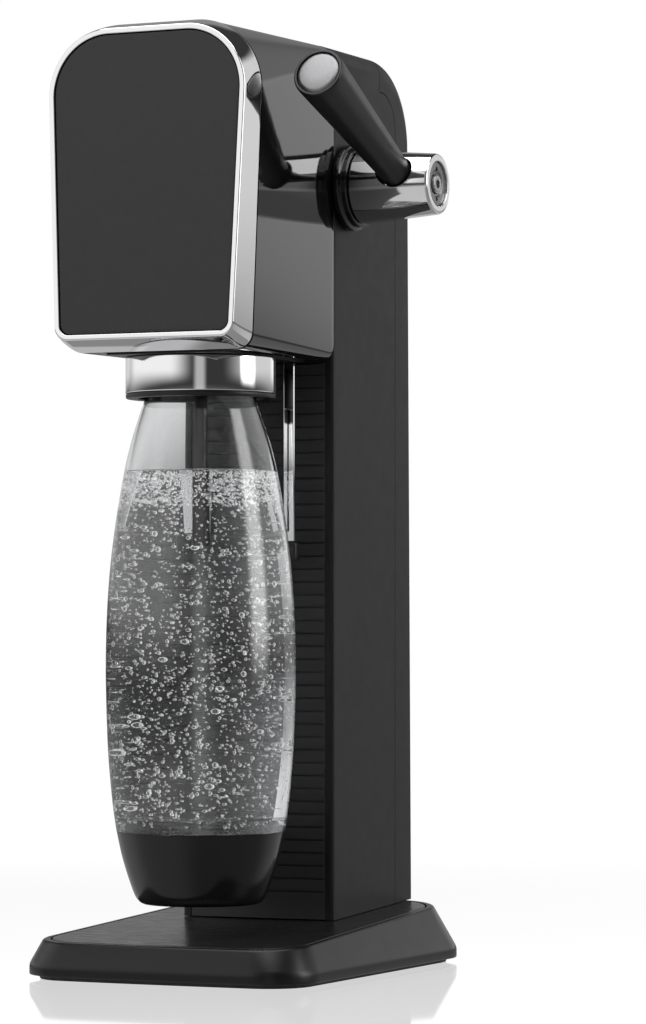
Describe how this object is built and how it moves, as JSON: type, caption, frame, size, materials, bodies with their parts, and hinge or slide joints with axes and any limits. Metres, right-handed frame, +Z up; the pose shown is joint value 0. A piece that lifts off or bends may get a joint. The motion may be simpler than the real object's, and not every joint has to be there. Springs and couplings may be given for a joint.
{
  "type": "soda carbonator",
  "caption": "Countertop soda carbonator: wedge base, louvred column, bezelled head, tilting bottle holder with a clear bottle, side lever and gas cylinder behind a sliding cover.",
  "frame": {"origin": "On the plane the machine stands on, directly under the centre line of the bottle, in the plane of symmetry of the body.", "axes": "+Z up, the front faces -Y, +X to the right as seen from the front, the side with the lever."},
  "size_m": [0.158, 0.2149, 0.432],
  "materials": {
    "satin_black": "satin black paint",
    "brushed_black": "finely brushed black metal",
    "matte_black": "matte black paint",
    "gloss_black": "mirror gloss black",
    "black_plastic": "matte moulded",
    "satin_grip": "satin moulded",
    "rubber": "matte",
    "chrome": "polished",
    "aluminium": "satin",
    "steel": "plain",
    "brass": "machined",
    "grey_paint": "smooth grey paint",
    "clear": "clear moulded bottle"
  },
  "bodies": {
    "machine": {"base_frame": "satin_black", "base_top_plate": "brushed_black", "base_foot_pad": "rubber", "base_ballast": "steel", "column_shell": "matte_black", "column_grille": "matte_black", "chassis_spine": "steel", "shaft_bush_left": "brass", "shaft_bush_right": "brass", "cylinder_rest": "black_plastic", "cylinder_guide": "black_plastic", "front_bezel": "chrome", "front_panel": "matte_black", "head_housing": "gloss_black", "head_frame": "steel", "holder_pivot_pin": "steel", "frame_screw_1": "steel", "frame_screw_2": "steel", "lever_collar": "gloss_black", "return_spring": "steel", "valve_block": "brass", "cylinder_seal": "rubber", "rocker_pin": "steel", "handle_pin_left": "steel", "handle_pin_right": "steel", "gas_hose": "rubber"},
    "holder": {"holder_collar": "black_plastic", "collar_skin": "chrome", "holder_deck": "black_plastic", "holder_arm_left": "chrome", "holder_arm_right": "chrome", "holder_arm_bridge": "black_plastic", "nozzle_head": "black_plastic", "bottle_seal": "rubber", "carbonation_tube": "black_plastic", "relief_valve": "brass"},
    "bottle": {"bottle_body": "clear", "bottle_cup": "black_plastic"},
    "lever": {"lever_shaft": "steel", "lever_hub": "chrome", "hub_cap_ring": "chrome", "hub_screw": "steel", "lever_grip": "satin_grip", "grip_end_cap": "aluminium", "lever_crank": "steel"},
    "cover": {"rear_cover": "matte_black"},
    "cylinder": {"gas_cylinder": "grey_paint", "cylinder_valve": "brass"},
    "handle": {"cylinder_handle": "satin_grip"},
    "rod": {"push_rod": "steel"},
    "rocker": {"valve_rocker": "steel"},
    "plunger": {"valve_plunger": "steel"}
  },
  "joints": [
    {"name": "lever_press", "type": "hinge", "parent": "machine", "child": "lever", "pos_m": [0, 0.0752, 0.3664], "axis": [1, 0, 0], "range_deg": [0, 50], "stiffness_Nm_per_rad": 0.5, "springref_deg": -28.65},
    {"name": "holder_tilt", "type": "hinge", "parent": "machine", "child": "holder", "pos_m": [0, -0.033, 0.29], "axis": [-1, 0, 0], "range_deg": [0, 15]},
    {"name": "bottle_drop", "type": "slide", "parent": "holder", "child": "bottle", "axis": [0, 0, -1], "range_m": [0, 0.008]},
    {"name": "cover_slide", "type": "slide", "parent": "machine", "child": "cover", "axis": [0, 0.9962, 0.0872], "range_m": [0, 0.1]},
    {"name": "cylinder_drop", "type": "slide", "parent": "machine", "child": "cylinder", "axis": [0, 0, -1], "range_m": [0, 0.005]},
    {"name": "handle_lift", "type": "hinge", "parent": "machine", "child": "handle", "pos_m": [0, 0.107, 0.395], "axis": [1, 0, 0], "range_deg": [0, 35]},
    {"name": "rod_lift", "type": "slide", "parent": "machine", "child": "rod", "axis": [0, 0, 1], "range_m": [0, 0.0085]},
    {"name": "rocker_tilt", "type": "hinge", "parent": "machine", "child": "rocker", "pos_m": [0, 0.1, 0.417], "axis": [-1, 0, 0], "range_deg": [0, 29.3]},
    {"name": "plunger_press", "type": "slide", "parent": "machine", "child": "plunger", "axis": [0, 0, -1], "range_m": [0, 0.0036]}
  ],
  "couplings": [
    {"joint": "rod_lift", "follows": "lever_press", "m_per_rad": 0.00968},
    {"joint": "rocker_tilt", "follows": "lever_press", "ratio": 0.584},
    {"joint": "plunger_press", "follows": "lever_press", "m_per_rad": 0.00401},
    {"joint": "handle_lift", "follows": "cylinder_drop", "rad_per_m": 122}
  ]
}
